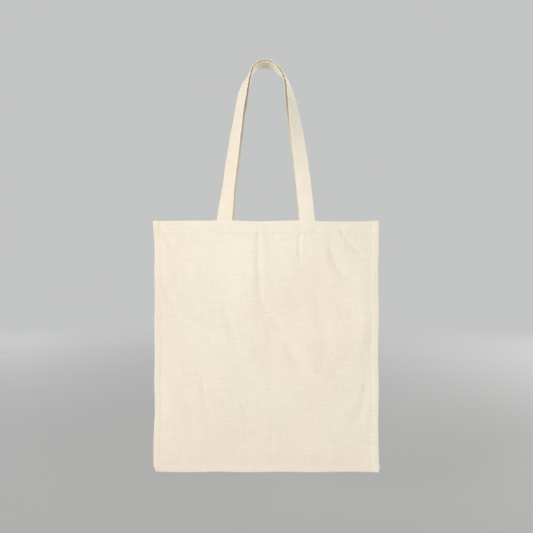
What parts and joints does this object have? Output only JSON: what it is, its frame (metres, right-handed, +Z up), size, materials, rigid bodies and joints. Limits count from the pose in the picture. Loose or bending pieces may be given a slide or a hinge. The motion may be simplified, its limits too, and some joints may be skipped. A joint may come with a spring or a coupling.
{
  "type": "canvas tote bag",
  "caption": "Flat canvas tote bag of two hemmed panels, hanging by a pair of long sewn fabric handles that fold down to the front and back.",
  "frame": {"origin": "the hanging point, under the middle of the inner handle's arch, where a hook or a hand carries the bag", "axes": "+Z up, +X to the right along the mouth, and the front panel faces -Y"},
  "size_m": [0.38, 0.0324, 0.6933],
  "materials": {
    "canvas": "natural unbleached cotton canvas, plain weave, matt",
    "thread": "natural cotton-wrapped sewing thread, slight sheen",
    "seam_binding": "raw canvas edge bound with overlock thread, matt"
  },
  "bodies": {
    "back_side": {"back_panel": "canvas", "back_hem_stitching": "thread", "back_handle_end_left": "canvas", "back_handle_end_right": "canvas", "back_box_stitch_left": "thread", "back_box_stitch_right": "thread", "left_seam_binding": "seam_binding", "right_seam_binding": "seam_binding", "bottom_seam_binding": "seam_binding"},
    "front_side": {"front_panel": "canvas", "front_hem_stitching": "thread", "front_handle_end_left": "canvas", "front_handle_end_right": "canvas", "front_box_stitch_left": "thread", "front_box_stitch_right": "thread"},
    "front_loop": {"front_handle": "canvas", "front_handle_stitching": "thread"},
    "back_loop": {"back_handle": "canvas", "back_handle_stitching": "thread"}
  },
  "joints": [
    {"name": "mouth_open", "type": "hinge", "parent": "back_side", "child": "front_side", "pos_m": [0, 0, -0.6874], "axis": [1, 0, 0], "range_deg": [0, 5]},
    {"name": "front_handle_fold", "type": "hinge", "parent": "front_side", "child": "front_loop", "pos_m": [0, -0.0139, -0.2631], "axis": [1, 0, 0], "range_deg": [0, 170]},
    {"name": "back_handle_fold", "type": "hinge", "parent": "back_side", "child": "back_loop", "pos_m": [0, 0.0139, -0.2631], "axis": [-1, 0, 0], "range_deg": [0, 170]}
  ]
}
